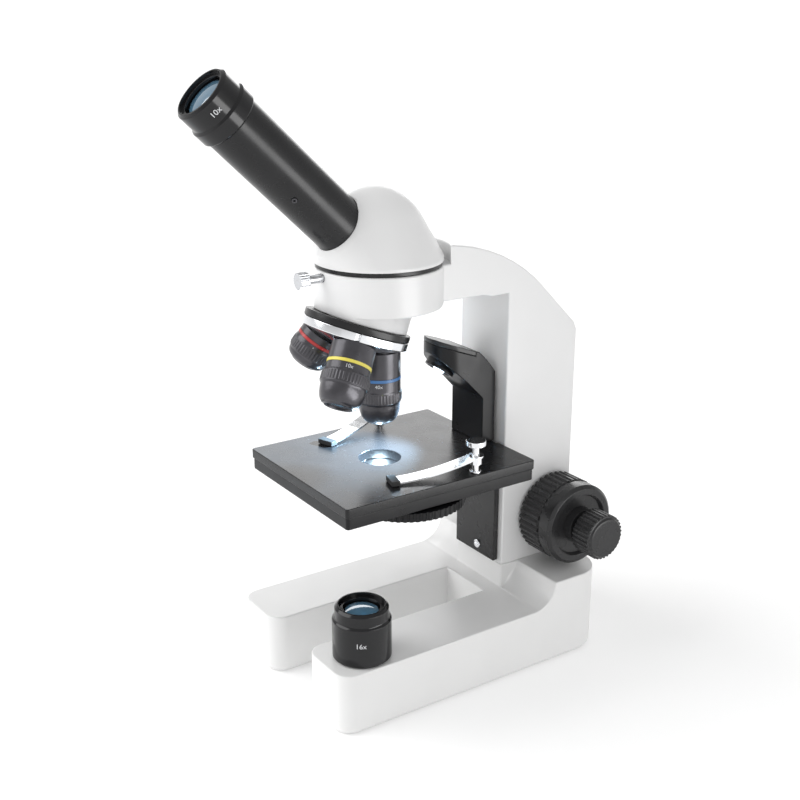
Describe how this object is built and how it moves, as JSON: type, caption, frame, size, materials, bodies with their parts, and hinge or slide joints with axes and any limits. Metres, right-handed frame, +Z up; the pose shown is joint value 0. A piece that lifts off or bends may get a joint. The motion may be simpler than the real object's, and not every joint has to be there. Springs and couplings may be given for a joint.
{
  "type": "student microscope",
  "caption": "Monocular student microscope with an inclined swivelling tube, objective turret, lit focusing stage with clips and a forked base with a storage well.",
  "frame": {"origin": "middle of the plan outline, on the surface that the rubber feet stand on", "axes": "+Z up, +Y from the eyepiece towards the arm, +X to the user's right as they look into the eyepiece"},
  "size_m": [0.1224, 0.2028, 0.2891],
  "materials": {
    "white_paint": "gloss",
    "white_plastic": "gloss",
    "black_paint": "satin",
    "black_plastic": "satin",
    "grey_plastic": "satin",
    "rubber": "matte",
    "chrome": "polished",
    "steel": "brushed",
    "brass": "satin",
    "gunmetal": "satin",
    "lens_glass": "clear",
    "filter_glass": "clear",
    "lamp_white": "clear",
    "band_red": "gloss",
    "band_yellow": "gloss",
    "band_blue": "gloss",
    "board_green": "satin"
  },
  "bodies": {
    "stand": {"base_shell": "white_plastic", "base_plate": "black_plastic", "rubber_feet": "rubber", "case_screws": "steel", "battery_door": "black_plastic", "battery_tray": "black_plastic", "battery_contacts": "steel", "circuit_board": "board_green", "switch_bezel": "black_plastic", "arm": "white_paint", "arm_back_cover": "white_plastic", "arm_bolts": "steel", "focus_bushings": "brass", "slide_rails": "steel", "turret_base": "black_paint", "turret_pivot": "chrome", "turret_detent": "steel"},
    "switch": {"switch_rocker": "black_plastic"},
    "lock_screw": {"head_lock_screw": "steel"},
    "head": {"head_dovetail": "black_paint", "head_shell": "white_paint", "prism": "lens_glass", "prism_mount": "black_plastic", "eyepiece_tube": "black_paint", "tube_setscrew": "gunmetal"},
    "eyepiece": {"eyepiece_body": "black_plastic", "eyepiece_lenses": "lens_glass"},
    "spare_eyepiece": {"spare_eyepiece_body": "black_plastic", "spare_eyepiece_lenses": "lens_glass"},
    "turret": {"turret_rotor": "chrome", "objective_4x": "gunmetal", "objective_10x": "gunmetal", "objective_40x": "gunmetal", "band_4x": "band_red", "band_10x": "band_yellow", "band_40x": "band_blue", "objective_lenses": "lens_glass"},
    "stage": {"stage_plate": "black_paint", "stage_frame": "black_plastic", "slide_plate": "grey_plastic", "limit_screw": "chrome", "slide_carriage": "gunmetal", "clip_pins": "chrome", "disc_pivot": "chrome", "lower_lamp": "black_plastic", "lower_lamp_lens": "lens_glass", "upper_lamp_post": "black_plastic", "upper_lamp_cover": "grey_plastic", "upper_lamp_lens": "lamp_white"},
    "clip_right": {"stage_clip_right": "chrome", "clip_tip_right": "rubber"},
    "clip_left": {"stage_clip_left": "chrome", "clip_tip_left": "rubber"},
    "disc": {"filter_disc": "black_plastic", "filter_glasses": "filter_glass"},
    "coarse_focus": {"coarse_shaft": "steel", "coarse_knobs": "grey_plastic", "focus_pinion": "brass"},
    "fine_focus": {"fine_shaft": "steel", "fine_knobs": "grey_plastic"}
  },
  "joints": [
    {"name": "power_switch", "type": "hinge", "parent": "stand", "child": "switch", "pos_m": [-0.02, 0.08945, 0.03], "axis": [1, 0, 0], "range_deg": [-10, 10]},
    {"name": "head_lock_turn", "type": "hinge", "parent": "stand", "child": "lock_screw", "pos_m": [0, -0.04755, 0.1993], "axis": [0, -1, 0], "range_deg": [-180, 180]},
    {"name": "head_swivel", "type": "hinge", "parent": "stand", "child": "head", "pos_m": [0, -0.01055, 0.202], "axis": [0, 0, 1], "continuous": true},
    {"name": "eyepiece_lift", "type": "slide", "parent": "head", "child": "eyepiece", "axis": [0, -0.7254, 0.6884], "range_m": [0, 0.024]},
    {"name": "spare_eyepiece_lift", "type": "slide", "parent": "stand", "child": "spare_eyepiece", "axis": [0, 0, 1], "range_m": [0, 0.03]},
    {"name": "turret_turn", "type": "hinge", "parent": "stand", "child": "turret", "pos_m": [0, -0.01055, 0.207], "axis": [0, 0.342, 0.9397], "continuous": true},
    {"name": "stage_focus", "type": "slide", "parent": "stand", "child": "stage", "axis": [0, 0, 1], "range_m": [-0.012, 0.016]},
    {"name": "clip_right_turn", "type": "hinge", "parent": "stage", "child": "clip_right", "pos_m": [0.0405, 0.01545, 0.109], "axis": [0, 0, 1], "range_deg": [-30, 20]},
    {"name": "clip_left_turn", "type": "hinge", "parent": "stage", "child": "clip_left", "pos_m": [-0.0405, 0.01545, 0.109], "axis": [0, 0, 1], "range_deg": [-30, 20]},
    {"name": "filter_disc_turn", "type": "hinge", "parent": "stage", "child": "disc", "pos_m": [0.0175, -0.00805, 0.094], "axis": [0, 0, 1], "continuous": true},
    {"name": "coarse_turn", "type": "hinge", "parent": "stand", "child": "coarse_focus", "pos_m": [0, 0.08045, 0.0665], "axis": [1, 0, 0], "range_deg": [-144, 108]},
    {"name": "fine_turn", "type": "hinge", "parent": "coarse_focus", "child": "fine_focus", "pos_m": [0, 0.08045, 0.0665], "axis": [1, 0, 0], "continuous": true}
  ],
  "couplings": [
    {"joint": "coarse_turn", "follows": "stage_focus", "rad_per_m": -156.25}
  ]
}
